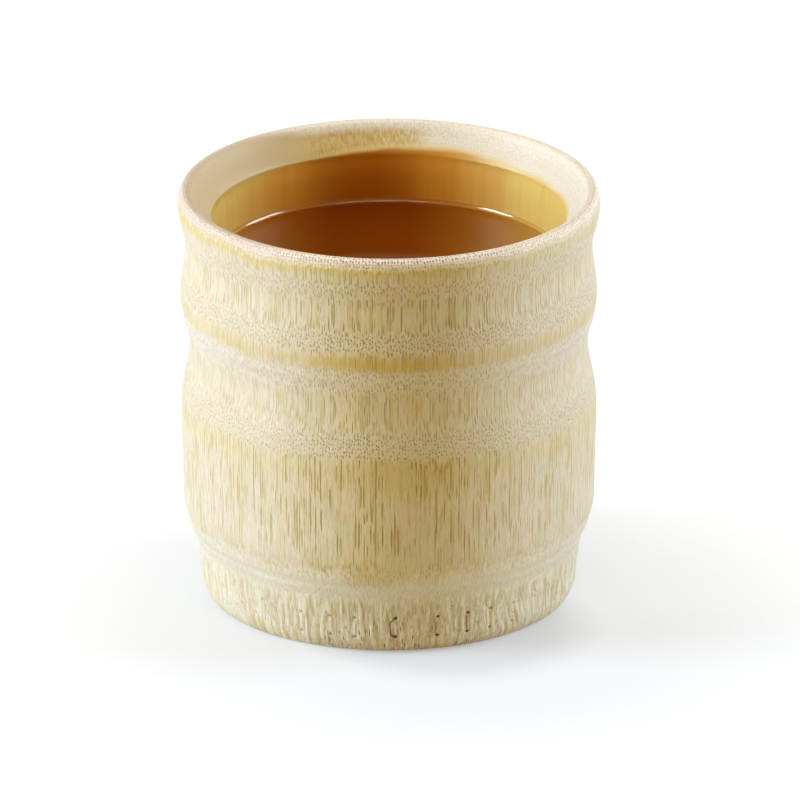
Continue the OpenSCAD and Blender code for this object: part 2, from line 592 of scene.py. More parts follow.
def cells(column, row, scatter, feature="F1"):
    """A flat pattern of scattered cells."""
    spot = add("CombineXYZ", {0: column, 1: row}).outputs[0]
    inputs = {"Vector": spot, "Scale": 1.0, "Randomness": scatter}
    return add("TexVoronoi", inputs, voronoi_dimensions="2D", feature=feature).outputs


def channels(colour):
    return add("SeparateColor", {0: colour}).outputs


def axes(vector):
    return add("SeparateXYZ", {0: vector}).outputs


def note(name, output="Fac"):
    return add("Attribute", attribute_name=name).outputs[output]


def ramp(value, stops):
    node = add("ValToRGB", {"Fac": value})
    elements = node.color_ramp.elements
    while len(elements) < len(stops):
        elements.new(1.0)
    for element, (at, colour) in zip(elements, stops):
        element.position = at
        element.color = (*colour, 1) if isinstance(colour, tuple) else (colour, colour, colour, 1)
    return node.outputs["Color"]


def place_mm():
    where = add("TexCoord").outputs["Object"]
    return add("VectorMath", {0: where, "Scale": 1 / MM}, operation="SCALE").outputs[0]


def bumped(height, strength, depth):
    return add("Bump", {"Height": height, "Strength": strength, "Distance": depth}).outputs[0]


# %% [markdown]
# The outside changes its look from one height to the next. We write that down as a table, from the
# foot up: where each zone ends, how strongly the dark strands show and how thick they are, how much
# yellow fibre lies between them, how ragged the zone's edge is, and the colour of the ground.
# Heights past 78 mm go on over the lip and down the bevel.

# %% Zones of the bamboo
Zone = namedtuple("Zone", "name top dark width yellow ragged ground")
GREEN_GREY, CREAM, SAND = (0.70, 0.64, 0.51), (0.68, 0.60, 0.43), (0.66, 0.57, 0.395)
HONEY, NODE_CREAM, OLIVE = (0.67, 0.57, 0.34), (0.69, 0.61, 0.42), (0.64, 0.53, 0.24)
FOOT, PALE_BAND = (0.77, 0.74, 0.54), (0.67, 0.635, 0.49)
PALE_LIP, BEVEL = (0.95, 0.82, 0.64), (0.82, 0.735, 0.55)
ZONES = (
    Zone("torn foot", 11.0, 0.20, 0.24, 0.30, 2.0, FOOT),
    Zone("smooth band", 14.4, 0.12, 0.22, 0.10, 1.0, PALE_BAND),
    Zone("honey line", 16.4, 0.15, 0.20, 0.40, 1.5, GREEN_GREY),
    Zone("streak ends", 21.5, 0.38, 0.19, 0.80, 5.0, CREAM),
    Zone("long streaks", 35.5, 0.95, 0.25, 1.00, 14.0, CREAM),
    Zone("yellow start", 40.2, 0.90, 0.25, 1.00, 3.0, HONEY),
    Zone("lower dots", 45.0, 0.75, 0.25, 0.30, 1.5, SAND),
    Zone("middle streaks", 53.2, 0.45, 0.20, 0.75, 3.0, CREAM),
    Zone("pale dots", 58.1, 0.50, 0.25, 0.20, 1.0, GREEN_GREY),
    Zone("node band", 61.3, 0.25, 0.20, 0.70, 0.5, NODE_CREAM),
    Zone("upper dots", 66.0, 0.80, 0.26, 0.30, 1.5, SAND),
    Zone("upper streaks", 72.0, 0.60, 0.22, 0.90, 2.5, CREAM),
    Zone("fine dots", 77.3, 0.60, 0.25, 0.30, 1.5, CREAM),
    Zone("lip band", 79.2, 0.30, 0.20, 1.00, 0.8, OLIVE),
    Zone("lip", 83.0, 1.00, 0.27, 0.00, 0.0, PALE_LIP),
    Zone("bevel", 92.0, 0.15, 0.22, 0.15, 0.5, BEVEL),
)
ZONE_BLEND = 0.8
ALONG_END = ZONES[-1].top
RAGGED_END = max(zone.ragged for zone in ZONES)


def zone_stops(column):
    """The stops of a ramp up the cup, which holds one column of the table."""
    stops, low = [], 0.0
    for zone in ZONES:
        value = getattr(zone, column)
        ends = (low + ZONE_BLEND, zone.top - ZONE_BLEND)
        stops += [(end / ALONG_END, value) for end in ends]
        low = zone.top
    return stops


print("zones:", ", ".join(zone.name for zone in ZONES))

# %% [markdown]
# Now the bamboo itself. A pattern of scattered points, laid out by the way round the cup and by the
# depth in the culm, stands for the dark strands. Each has a core with frayed edges and a pale halo.
# On the lip they lie a little further apart and more evenly.

# %% Bamboo: where the dark strands run
STRAND_GAP, STRAND_SCATTER = 0.56, 0.65
LIP_GAP, LIP_SHIFT, LIP_SCATTER = 0.60, 11.3, 0.45
LIP_START = (78.8, 79.4)
FRAY, WIDTH_CHANCE = 0.36, 0.5
CORE_EDGE, HALO = (-0.07, 0.07), (-0.28, -0.15, -0.13, -0.04)

bamboo, tree = opened(bpy.data.materials.new("bamboo"))
place = place_mm()
right, back, _ = axes(place)
towards_us = times(back, -1.0)
around = times(maths("ARCTAN2", right, towards_us), PATTERN_R)
across = plus(around, note("sway"))
along = note("along")
share_along = over(along, ALONG_END)


def zone_value(column):
    return ramp(share_along, zone_stops(column))


def strands(gap, shift, scatter):
    """Strands `gap` mm apart: how far the nearest one is, and three chance numbers of its own."""
    cell = cells(over(plus(across, shift), gap), over(note("depth"), gap), scatter)
    return cell["Distance"], channels(cell["Color"])


fray = scaled(lumps(place, 0.3, 2.2), FRAY, -FRAY / 2)
on_lip = rise(along, *LIP_START)
reach, chance = strands(STRAND_GAP, 0.0, STRAND_SCATTER)
reach = between(on_lip, reach, strands(LIP_GAP, LIP_SHIFT, LIP_SCATTER)[0])
dark_width = times(zone_value("width"), scaled(chance[2], WIDTH_CHANCE, 1 - WIDTH_CHANCE / 2))
core = minus(minus(dark_width, reach), fray)
dark = rise(core, *CORE_EDGE)
halo = hill(core, *HALO)
print("strands are", STRAND_GAP, "mm apart, and on the lip", LIP_GAP, "mm")

# %% [markdown]
# Not every strand shows. Some are too faint, and low on the cup whole patches are calm. Towards both
# sides the strands are turned down as painted light, and on the far rim they are turned down too.

# %% Bamboo: where the strands show
MISSING, INK, INK_CHANCE = (0.0, 0.25), 0.65, 0.45
CALM, CALM_LEFT_OVER, CALM_TOP = (0.43, 0.50), 0.2, (39.0, 42.0)
FRONT, SIDE_LIGHT_START, SIDE_LIGHT_END = 2.0, 3.0, 26.0
FAR_RIM, RIM_START = (8.0, -22.0), (79.0, 80.0)

shown = most(rise(chance[0], *MISSING), on_lip)
calm = times(lumps(place, 4.5, 7.0, 1.0), 0.55)
calm = scaled(lumps(place, 0.5, 5.0, 1.0), 0.45, calm)
streaked = most(rise(calm, *CALM, CALM_LEFT_OVER), rise(along, *CALM_TOP))
inked = most(scaled(chance[1], INK_CHANCE, INK), on_lip)
# Painted light: how far towards the sides the bamboo is paled, as the side lamps wash it.
to_side = off(right, FRONT)
side_lit = rise(to_side, SIDE_LIGHT_START, SIDE_LIGHT_END)
far_rim = times(rise(towards_us, *FAR_RIM), rise(along, *RIM_START))
dark_strength = zone_value("dark")
dark = times(dark, shown, dark_strength, streaked, inked)
# Painted light: the dark strands fade towards both sides; at the far rim they fade too.
dark = faded(faded(dark, side_lit, 0.6), far_rim, 0.8)
halo = times(halo, shown, dark_strength, streaked, rise(along, 79.4, 78.6))
print("nodes so far:", len(tree.nodes))

# %% [markdown]
# Between the dark strands lie yellow fibres, from a second pattern, and beside each dark strand lies
# a little yellow too. They come and go in patches and fade towards both sides, as painted light.

# %% Bamboo: yellow fibres
FIBRE_GAP, FIBRE_SHIFT = 0.80, 31.7
FIBRE_WIDTH, FIBRE_CHANCE = 0.22, 0.2
FIBRE_EDGE, BESIDE = (-0.10, 0.10), (0.52, 0.22)

fibre_reach, fibre_chance = strands(FIBRE_GAP, FIBRE_SHIFT, STRAND_SCATTER)
fibre_width = scaled(fibre_chance[2], FIBRE_CHANCE, FIBRE_WIDTH)
fibre_core = minus(minus(fibre_width, fibre_reach), fray)
patches = rise(lumps(place, 6.0, 10.0, 3.0), 0.40, 0.60, 0.2)
fibre = times(rise(fibre_core, *FIBRE_EDGE), rise(fibre_chance[1], 0.15, 0.6), patches)
beside = times(rise(reach, *BESIDE), shown, 0.8)
yellow = times(most(fibre, beside), zone_value("yellow"), streaked)
# Painted light: the yellow fades towards both sides.
yellow = faded(yellow, side_lit, 0.45)
print("yellow fibres are", FIBRE_GAP, "mm apart")

# %% [markdown]
# Under the fibres lies the ground, coloured from the table of zones, with ragged borders. Slow lumps
# turn it a little pink or green. Painted shade deepens the front, painted light pales both sides and
# the hollow above the foot, and hair-fine fibres and grain roughen it everywhere.

# %% Bamboo: ground
PINK, MOSS_GREEN = (1.05, 0.97, 1.03), (0.91, 0.98, 0.84)
MIDDLE_SHADE_TINT, FRONT_SHADE_TINT, WAIST_LIGHT = (0.94, 0.90, 0.70), (1.0, 0.97, 0.78), (1.06, 1.10, 1.12)
SIDE_LIGHT_TINT, HONEY_PATCH = (1.05, 1.05, 1.05), (0.60, 0.44, 0.17)
HAIR_TINT, GRAIN_TINT = (0.80, 0.75, 0.52), (0.76, 0.71, 0.52)
MIDDLE_SHADE_AT, MIDDLE_SHADE_SPREAD, MIDDLE_SHADE_HEIGHTS = 3.5, (14.0, 4.0), (30.0, 36.0, 39.5, 41.5)
FRONT_SHADE_HEIGHTS = (15.0, 17.4, 78.6, 79.8)
WAIST_LIGHT_RISE, WAIST_LIGHT_FROM, WAIST_LIGHT_TO = 1.6, (12.6, 13.8), (18.5, 16.5)
HONEY_AT, HONEY_SPREAD, HONEY_HEIGHTS = -3.0, (8.0, 2.0), (13.6, 15.2, 16.0, 20.0)

ragged_stops = [(at, value / RAGGED_END) for at, value in zone_stops("ragged")]
jag = rise(lumps(place, 0.45, 40.0, 4.0), 0.30, 0.70, -0.5, 0.5)
raggedness = times(ramp(share_along, ragged_stops), jag)
ragged_along = scaled(raggedness, RAGGED_END * 1.6, along)
ground = ramp(over(ragged_along, ALONG_END), zone_stops("ground"))
blush = rise(lumps(place, 2.2, 8.0, 3.0), 0.40, 0.62)
moss = rise(lumps(place, 3.0, 6.0, 3.0), 0.50, 0.68)
in_middle_shade = rise(off(right, MIDDLE_SHADE_AT), *MIDDLE_SHADE_SPREAD)
not_side_lit = minus(1.0, side_lit)
waist_light_along = plus(along, rise(to_side, 14.0, 4.0, 0.0, WAIST_LIGHT_RISE))
ground = tinted(ground, PINK, blush, 0.5)
# Painted shade: the front middle, 30 to 41.5 mm up, is tinted deeper yellow.
ground = tinted(ground, MIDDLE_SHADE_TINT, in_middle_shade, hill(along, *MIDDLE_SHADE_HEIGHTS))
# Painted shade: away from the paled sides, the ground is tinted deeper and yellower.
ground = tinted(ground, FRONT_SHADE_TINT, not_side_lit, hill(along, *FRONT_SHADE_HEIGHTS))
# Painted light: a paler band lifts the shade in the waist above the foot, starting higher at the front.
ground = tinted(ground, WAIST_LIGHT, rise(waist_light_along, *WAIST_LIGHT_FROM), rise(along, *WAIST_LIGHT_TO))
# Painted light: the far sides are lightened once more.
ground = tinted(ground, SIDE_LIGHT_TINT, side_lit, rise(to_side, 32.0, 24.0))
in_honey = rise(off(right, HONEY_AT), *HONEY_SPREAD)
ground = painted(ground, HONEY_PATCH, in_honey, 0.55, hill(ragged_along, *HONEY_HEIGHTS))
ground = tinted(ground, MOSS_GREEN, moss, 0.5)
hair = lumps(place, 0.24, 7.0, 3.0)
grain = lumps(place, 0.26, 1.3)
ground = tinted(ground, HAIR_TINT, rise(hair, 0.30, 0.56, 0.6, 0.0))
ground = tinted(ground, GRAIN_TINT, rise(grain, 0.36, 0.52, 0.3, 0.0))
print("ragged borders reach, mm:", RAGGED_END)

# %% [markdown]
# Some marks belong to one place. An amber band rings the upper node, painted deepest in front. The lip
# is worn at the right and painted a shade darker at the left, and inside it the bevel carries painted
# shade at the left and has a tufted stain at the back.

# %% Bamboo: node band, worn lip, and painted shade on lip and bevel
AMBER_BAND, WORN, BEVEL_SHADE = (0.57, 0.36, 0.055), (0.70, 0.62, 0.42), (0.62, 0.44, 0.17)
BEVEL_SHADE_FAR_LEFT, STAIN, SHADED_LIP = (0.78, 0.61, 0.32), (0.52, 0.31, 0.055), (0.82, 0.78, 0.76)
BAND_AT, BAND_SPREAD, BAND_HEIGHTS = -1.5, (4.0, 19.0), (57.2, 59.3, 60.2, 61.9)
WORN_SIDE, WORN_HEIGHTS = (8.0, 22.0), (76.4, 77.6, 79.0, 79.8)
BEVEL_SHADE_SIDE, BEVEL_SHADE_HEIGHTS, BEVEL_SHADE_RISE = (14.0, -6.0), (82.9, 85.2), 2.0
STAIN_AT, STAIN_SPREAD, STAIN_HEIGHTS = -5.0, (14.0, 7.0), (83.4, 84.6)

band_noise = rise(lumps(place, 0.45, 3.5, 3.0), 0.34, 0.6, 0.55)
# The band is real; it is painted deepest in front and fades towards the sides as painted light.
in_front = rise(off(right, BAND_AT), *BAND_SPREAD, 0.95, 0.3)
ground = painted(ground, AMBER_BAND, hill(ragged_along, *BAND_HEIGHTS), band_noise, in_front)
worn_side = rise(right, *WORN_SIDE, 0.0, 0.55)
ground = painted(ground, WORN, worn_side, hill(along, *WORN_HEIGHTS))
side_noise = plus(lumps(place, 3.0, 3.0, 3.0), -0.5)
# Painted shade: the bevel's left side is tinted yellow-brown, paler further round to the left.
bevel_shade_side = rise(scaled(side_noise, 14.0, right), *BEVEL_SHADE_SIDE)
bevel_shade_along = plus(along, rise(right, -10.0, -28.0, 0.0, BEVEL_SHADE_RISE))
bevel_shade_tint = mix(rise(right, -18.0, -30.0), BEVEL_SHADE, BEVEL_SHADE_FAR_LEFT)
ground = painted(ground, bevel_shade_tint, bevel_shade_side, rise(bevel_shade_along, *BEVEL_SHADE_HEIGHTS), 0.95)
tuft_spot = add("CombineXYZ", {0: around, 2: along}).outputs[0]
tufts = rise(lumps(tuft_spot, 0.45, 1.6), 0.38, 0.62, 0.1, 0.9)
near_stain = rise(off(right, STAIN_AT), *STAIN_SPREAD)
ground = painted(ground, STAIN, near_stain, tufts, rise(along, *STAIN_HEIGHTS))
# Painted shade: the lip is darkened a little at the left.
ground = tinted(ground, SHADED_LIP, rise(right, -12.0, -28.0), rise(along, 78.0, 79.6))
print("node band, mm:", BAND_HEIGHTS[0], "to", BAND_HEIGHTS[-1])

# %% [markdown]
# Lacquer creeps into the fibres just over its edge, and the wood there turns amber. The amber is painted
# deepest at the middle of the far side and paler towards both sides, as painted shade and light. How far
# it creeps wanders. Under the floor the wood is bare again.

# %% Bamboo: soaked wood
BORE_EDGE = 89.0
BORE_END = (150.0, 140.0)
AMBER_SHADE_MIDDLE = -4.0
AMBER_SHADE_SPANS = ((0.0, 18.0), (12.0, 34.0))
SOAKED = ((0.43, 0.13, 0.004), (0.60, 0.25, 0.020), (0.76, 0.53, 0.13))
SOAKED_EDGE = (0.74, 0.55, 0.20)

soak = plus(along, rise(right, -27.0, 14.0, 0.2, 2.0))
soak = minus(soak, rise(right, 12.0, 30.0, 0.0, 1.2))
soak = plus(soak, scaled(lumps(place, 9.0, 60.0, 1.0), 1.6, -0.8))
soaked = times(rise(soak, BORE_EDGE - 1.1, BORE_EDGE + 0.7), rise(along, *BORE_END))
# Painted shade and light: the amber is deepest at the far side's middle and pales towards both sides.
off_middle = off(right, AMBER_SHADE_MIDDLE)
amber = toned(off_middle, AMBER_SHADE_SPANS, *SOAKED)
amber = painted(amber, SOAKED_EDGE, rise(soak, BORE_EDGE + 1.0, BORE_EDGE - 0.2))
print("the bore starts at", BORE_EDGE, "mm along")

# %% [markdown]
# Now all of these are laid over the ground like thin glazes: first the yellow, then the halos, then
# the dark cores, and the amber of the soaked wood over all of them.

# %% Bamboo: lay fibres and strands on the ground
YELLOW_FIBRE, OLIVE_FIBRE, HALO_CREAM = (0.60, 0.43, 0.08), (0.42, 0.32, 0.06), (0.80, 0.70, 0.40)
DARK_STRAND, LOW_STRAND, LIP_STRAND = (0.21, 0.13, 0.02), (0.33, 0.20, 0.03), (0.28, 0.13, 0.05)
YELLOW_COVER, HALO_COVER, DARK_COVER = 0.88, 0.28, 0.86

fibre_tint = mix(fibre_chance[0], YELLOW_FIBRE, OLIVE_FIBRE)
strand_tint = mix(rise(along, 42.0, 38.0), DARK_STRAND, LOW_STRAND)
strand_tint = mix(on_lip, strand_tint, LIP_STRAND)
colour = painted(ground, fibre_tint, yellow, YELLOW_COVER)
colour = painted(colour, HALO_CREAM, halo, HALO_COVER)
colour = painted(colour, strand_tint, dark, DARK_COVER)
colour = painted(colour, amber, soaked)
print("nodes so far:", len(tree.nodes))

# %% [markdown]
# Long pointed cells draw the slivers of the torn foot. Chance picks the stained ones, the pink ones
# and those with a dark split along their edge. Lower down, small bits have broken out, which leaves
# dark holes and a few pale chips.

# %% Bamboo: torn foot
SLIVER_W, SLIVER_L, SLIVER_SHIFT, SLIVER_SCATTER = 0.50, 4.0, 5.1, 0.9
BIT_W, BIT_L = 0.50, 2.0
FOOT_TOP = (11.5, 9.5)
STAINED_SLIVER, PINK_SLIVER = (0.58, 0.43, 0.14), (0.62, 0.46, 0.34)
SPLIT, HOLE, CHIP = (0.30, 0.21, 0.08), (0.16, 0.09, 0.035), (0.88, 0.82, 0.66)

in_foot = rise(along, *FOOT_TOP)
sliver_at = over(plus(across, SLIVER_SHIFT), SLIVER_W)
sliver_row = over(along, SLIVER_L)
edges = cells(sliver_at, sliver_row, SLIVER_SCATTER, "DISTANCE_TO_EDGE")["Distance"]
sliver_chance = channels(cells(sliver_at, sliver_row, SLIVER_SCATTER)["Color"])
split = times(rise(edges, 0.10, 0.03), rise(sliver_chance[1], 0.35, 0.8))
split = times(most(split, times(note("torn"), 0.5)), in_foot)
patched = rise(lumps(place, 2.4, 9.0), 0.42, 0.60, 0.35)
stained = rise(sliver_chance[0], 0.55, 0.80)
pinked = rise(sliver_chance[2], 0.72, 0.9)
colour = painted(colour, STAINED_SLIVER, stained, in_foot, patched, 0.65)
colour = painted(colour, PINK_SLIVER, pinked, in_foot, 0.5)
colour = painted(colour, SPLIT, split, 0.5)

bits = cells(over(across, BIT_W), over(along, BIT_L), 1.0)
bit_chance = channels(bits["Color"])[0]
fragile = rise(lumps(place, 2.5, 2.5, 3.0), 0.42, 0.58)
fragile = times(fragile, rise(along, 8.5, 3.5), rise(side_lit, 0.75, 0.3))
hole = times(rise(bits["Distance"], 0.36, 0.20), rise(bit_chance, 0.68, 0.74), fragile)
chip = times(rise(bits["Distance"], 0.40, 0.22), rise(bit_chance, 0.16, 0.10), fragile)
colour = painted(colour, HOLE, hole, 0.9)
colour = painted(colour, CHIP, chip)
print("slivers, mm:", SLIVER_W, "wide and", SLIVER_L, "long")

# %% [markdown]
# The root scars take their places from the notes on the mesh. The strongest has a dark crack between
# its two pits. The next ones have a brown bar with a thin dark line beside it, and the faint ones
# only their pits.

# %% Bamboo: root scars
SCAR_FRAY = 2.8
BAR_MIDDLE, LINE_MIDDLE = -0.05, -0.62
BROWNED, CRACKED = (0.6, 0.75, 0.92, 0.97), (0.92, 0.99)
BAR, LINE, PIT = (0.58, 0.36, 0.15), (0.24, 0.12, 0.04), (0.10, 0.06, 0.03)

scar_x, scar_z, scar_shown = axes(note("root_scar", "Vector"))
scar_fray = scaled(lumps(place, 1.3, 1.3, 4.0), SCAR_FRAY, -SCAR_FRAY / 2)
ring_x = over(plus(scar_x, scar_fray), SCAR_HALF_W)
ring_z = over(scar_z, SCAR_HALF_H)
from_middle = maths("SQRT", scaled(ring_z, ring_z, times(ring_x, ring_x)))
crack_mark = rise(off(from_middle, 1.0), 0.20, 0.05)
crack_mark = times(crack_mark, rise(scar_x, 0.0, -0.5), rise(scar_shown, *CRACKED), 0.8)


def pit_mark(end):
    off_x = plus(scar_x, -PIT_ACROSS)
    off_z = plus(scar_z, -end)
    apart = scaled(times(off_z, 2.0), off_z, times(off_x, off_x))
    return rise(apart, 0.20, 0.08)


both_pits = most(pit_mark(SCAR_HALF_H), pit_mark(-SCAR_HALF_H))
marks = times(most(crack_mark, both_pits), rise(scar_shown, 0.25, 0.7, 0.1))
bar_x = scaled(scar_fray, 0.5, scar_x)
bar_end = rise(off(ring_z, 0.0), 0.95, 0.75)
browned = times(hill(scar_shown, *BROWNED), bar_end)
bar = rise(off(bar_x, BAR_MIDDLE), 0.52, 0.34)
line = rise(off(bar_x, LINE_MIDDLE), 0.20, 0.05)
colour = painted(colour, BAR, bar, browned, 0.5)
colour = painted(colour, LINE, line, browned, 0.8)
colour = painted(colour, PIT, marks)
print("nodes so far:", len(tree.nodes))

# %% [markdown]
# Strands, splits and pits lie a little lower than the ground, so they feed the bump. Dry bamboo is
# dull, and the soaked wood is smoother and glossier. A thin warm line of painted light marks the lip's
# inner edge, where light shines through it, strongest at the front.

# %% Bamboo: gloss and relief
INNER_EDGE, EDGE_GLOW = 83.0, (0.95, 0.60, 0.34)
DEPTHS = ((dark, -4.0), (marks, -2.0), (split, -1.5), (hole, -3.5))
BUMP, BUMP_DEPTH = 0.55, 0.08 * MM
DRY_ROUGHNESS, HAIR_ROUGHNESS, SOAKED_ROUGHNESS = 0.50, 0.16, 0.36
WARM_GLINT = (1.0, 0.80, 0.56)

glow_side = rise(towards_us, -10.0, 15.0, 0.0, 0.4)
# Painted light: a warm glow along the lip's inner edge.
colour = painted(colour, EDGE_GLOW, rise(off(along, INNER_EDGE), 0.4, 0.05), glow_side)
relief = plus(hair, grain)
for mark, how_deep in DEPTHS:
    relief = scaled(mark, how_deep, relief)
bump = bumped(faded(relief, soaked, 0.8), BUMP, BUMP_DEPTH)
dry = scaled(hair, HAIR_ROUGHNESS, DRY_ROUGHNESS)
shade(Base_Color=colour, Normal=bump, Roughness=between(soaked, dry, SOAKED_ROUGHNESS))
shade(IOR=1.45, Coat_Weight=0.1, Coat_Roughness=0.5, Specular_Tint=WARM_GLINT)
wall.data.materials.append(bamboo)
print("nodes in the bamboo:", len(tree.nodes))

# %% [markdown]
# The coat of lacquer lines the bore and the floor. Its CAD solid has two faces: one lies on the wood,
# the other faces the tea. Rings that lie on the wall's or the floor's own section belong to the first.
# Between the rings we put our own rows, so that the coat can be shaped and thinned out at its edge.

# %% Read the faces of the floor and of the lacquer
SAME = 0.05 * MM
floor_rings = rings_of("node_floor")
floor_edge = max(floor_rings)
floor_mid_z = np.mean([height for radius, height in floor_rings if radius < SAME])
floor_side = {ring for ring in floor_rings if ring[0] > floor_edge[0] - SAME}
floor_above = {ring for ring in floor_rings - floor_side if ring[1] > floor_mid_z} | {floor_edge}
floor_top = walk(floor_above, floor_edge)
floor_under = walk((floor_rings - floor_above) | {floor_edge}, floor_edge)


def off_path(ring, path):
    """Distance from a ring to the nearest stretch of a path of rings."""
    start, run = path[:-1], np.diff(path, axis=0)
    share = ((ring - start) * run).sum(axis=1) / (run ** 2).sum(axis=1)
    nearest = start + run * np.clip(share, 0, 1)[:, None]
    return np.hypot(*(nearest - ring).T).min()


def respaced(path, step):
    """Rows `step` apart along a path of rings, with its first and its last ring kept."""
    length = np.concatenate([[0], np.cumsum(np.hypot(*np.diff(path, axis=0).T))])
    wanted = np.linspace(0, length[-1], max(2, round(length[-1] / step) + 1))
    return np.stack([np.interp(wanted, length, path[:, axis]) for axis in (0, 1)], axis=1)


lining_rings = rings_of("lacquer_lining")
on_wood = {ring for ring in lining_rings if min(off_path(ring, section), off_path(ring, floor_top)) < SAME}
coat_top = max(lining_rings, key=lambda ring: ring[1])
bare_face = walk((lining_rings - on_wood) | {coat_top}, coat_top)
wood_face = walk(on_wood, coat_top)
print("lacquer, mm deep:", round((coat_top[1] - bare_face[-1, 1]) / MM, 1))

# %% [markdown]
# The bore was finished by hand, so the lacquer's face isn't a perfect tube. Long shallow hollows run
# down it. They catch the side light as soft upright bands, which is what tells the eye that the
# inside is wood under lacquer and not a plastic cup.

# %% Lacquer coat
COAT_COLUMNS = 240
HOLLOW_DEPTH = 0.1 * MM
HOLLOW_END, HOLLOW_BOTTOM = 3 * MM, (14 * MM, 24 * MM)
EDGE_FADE = 4 * MM
BARE_ROW, WOOD_ROW = 0.6 * MM, 3.0 * MM


def round_noise(columns, lumps_round, seed):
    """Smooth noise round a circle, the same at every height, between about -1 and 1."""
    angle = np.arange(columns) * (2 * math.pi / columns)
    reach = lumps_round / (2 * math.pi)
    spots = [Vector((reach * math.sin(a), reach * math.cos(a), seed * SEED_STEP)) for a in angle]
    return np.array([noise.noise(spot) for spot in spots])


hollows = round_noise(COAT_COLUMNS, 26, 20) + 0.5 * round_noise(COAT_COLUMNS, 60, 21)


def hollowed(radius, height):
    """Radii with the hollows of the bore in them, for rows at these heights."""
    share = blend(height, coat_top[1], coat_top[1] - HOLLOW_END) * blend(height, *HOLLOW_BOTTOM)
    return radius[:, None] + HOLLOW_DEPTH * share[:, None] * hollows[None, :]


def thinned(rows_in):
    """The coat's bare face, with an edge that thins out over several millimetres."""
    radius, height = rows_in.T
    below = np.array([coat_top[1] - 2 * EDGE_FADE])
    wood_r, below_wood = (np.interp(at, wood_face[::-1, 1], wood_face[::-1, 0]) for at in (height, below))
    thickness = below_wood - np.interp(below, bare_face[::-1, 1], bare_face[::-1, 0])
    thin = wood_r - thickness * blend(height, coat_top[1], coat_top[1] - EDGE_FADE)
    return np.stack([np.where(height > coat_top[1] - EDGE_FADE, thin, radius), height], axis=1)


bare_rows = thinned(respaced(bare_face, BARE_ROW))
wood_rows = respaced(wood_face, WOOD_ROW)[:0:-1]
coat_r = np.vstack([hollowed(*bare_rows.T), spread(wood_rows[:, 0], COAT_COLUMNS)])
coat_z = spread(np.concatenate([bare_rows[:, 1], wood_rows[:, 1]]), COAT_COLUMNS)
coat = spin("lacquer_coat", coat_r, coat_z)
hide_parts("lacquer_lining")
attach(coat, "root")
print("rows in the coat:", len(coat_r))

# %% [markdown]
# The amber lacquer is painted darkest at the middle of the far side and pale gold towards both sides:
# painted shade where the side lamps don't reach, and painted light where they do, in soft upright bands.
# Upright streaks follow the brush, and along the uneven upper edge the coat is so thin that the wood
# shows through.

# %% Lacquer material
AMBER, DEEP_AMBER = (0.68, 0.28, 0.022), (0.49, 0.14, 0.004)
SIDE_LIT_AMBER, FRINGE = (0.80, 0.56, 0.13), (0.62, 0.44, 0.09)

lacquer, tree = opened(bpy.data.materials.new("amber_lacquer"))
place = place_mm()
right, _, up = axes(place)
# Painted shade and light: dark in the middle, pale gold at both sides, shifted by soft upright bands.
bands = plus(lumps(place, 5.0, 400.0), -0.5)
off_middle = scaled(bands, -12.0, off(right, AMBER_SHADE_MIDDLE))
colour = toned(off_middle, AMBER_SHADE_SPANS, DEEP_AMBER, AMBER, SIDE_LIT_AMBER)
streak = lumps(place, 1.6, 60.0, 3.0)
colour = painted(colour, DEEP_AMBER, rise(streak, 0.45, 0.75, 0.0, 0.15))
waver = scaled(lumps(place, 5.0, 400.0, 3.0), 3.0, -1.5)
edge_z = plus(plus(up, waver), rise(right, -27.0, -10.0, 0.9, -2.0))
edge_mm = coat_top[1] / MM
colour = painted(colour, FRINGE, rise(edge_z, edge_mm - 1.0, edge_mm + 0.6))
shade(Base_Color=colour, Roughness=0.32, IOR=1.5, Specular_Tint=WARM_GLINT)
coat.data.materials.append(lacquer)
print("the coat ends at height, mm:", round(edge_mm, 1))

# %% [markdown]
# The floor of the cup is the partition of the culm's lowest node. It was left as it grew, and only
# its underside shows, inside the standing ring: a shallow dish, pale and rough, with the dimples and
# the rings of the plant's own growth.

# %% Floor partition
FLOOR_COLUMNS = 180
FLOOR_ROW = 0.7 * MM
DIMPLE_DEPTH, DIMPLE_SIZE, DIMPLE_SEED = 0.22 * MM, 2.2, 3.1
RING_DEPTH, RING_SIZE, CALM_EDGE = 0.35, 1.3, 2

low_face = respaced(floor_under, FLOOR_ROW)[::-1]
floor_path = np.vstack([floor_top, low_face[:-1]])
floor_r = spread(floor_path[:, 0], FLOOR_COLUMNS)
floor_z = spread(floor_path[:, 1], FLOOR_COLUMNS)
floor_turn = np.arange(FLOOR_COLUMNS) * (2 * math.pi / FLOOR_COLUMNS)
edge_mm = floor_edge[0] / MM
for row in range(len(floor_top), len(floor_path)):
    out = floor_path[row, 0] / MM
    growth_ring = RING_DEPTH * math.sin(out / RING_SIZE)
    for column, angle in enumerate(floor_turn):
        x, y = out * math.sin(angle), out * math.cos(angle)
        spot = Vector((x / DIMPLE_SIZE, y / DIMPLE_SIZE, DIMPLE_SEED))
        lump = noise.fractal(spot, 0.8, 2.0, 3) + growth_ring
        floor_z[row, column] += DIMPLE_DEPTH * blend(out, edge_mm, edge_mm - CALM_EDGE) * (0.6 + lump)
partition = spin("floor_partition", floor_r, floor_z)
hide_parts("node_floor")
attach(partition, "root")
print("floor partition rows:", len(floor_path))

# %% [markdown]
# The partition's wood is darker than the wall's, mottled, and full of small pores that are also
# dimples to the touch.

# %% Partition material
PALE_NODE, BROWN_NODE, PORE = (0.70, 0.55, 0.30), (0.50, 0.36, 0.16), (0.25, 0.16, 0.07)

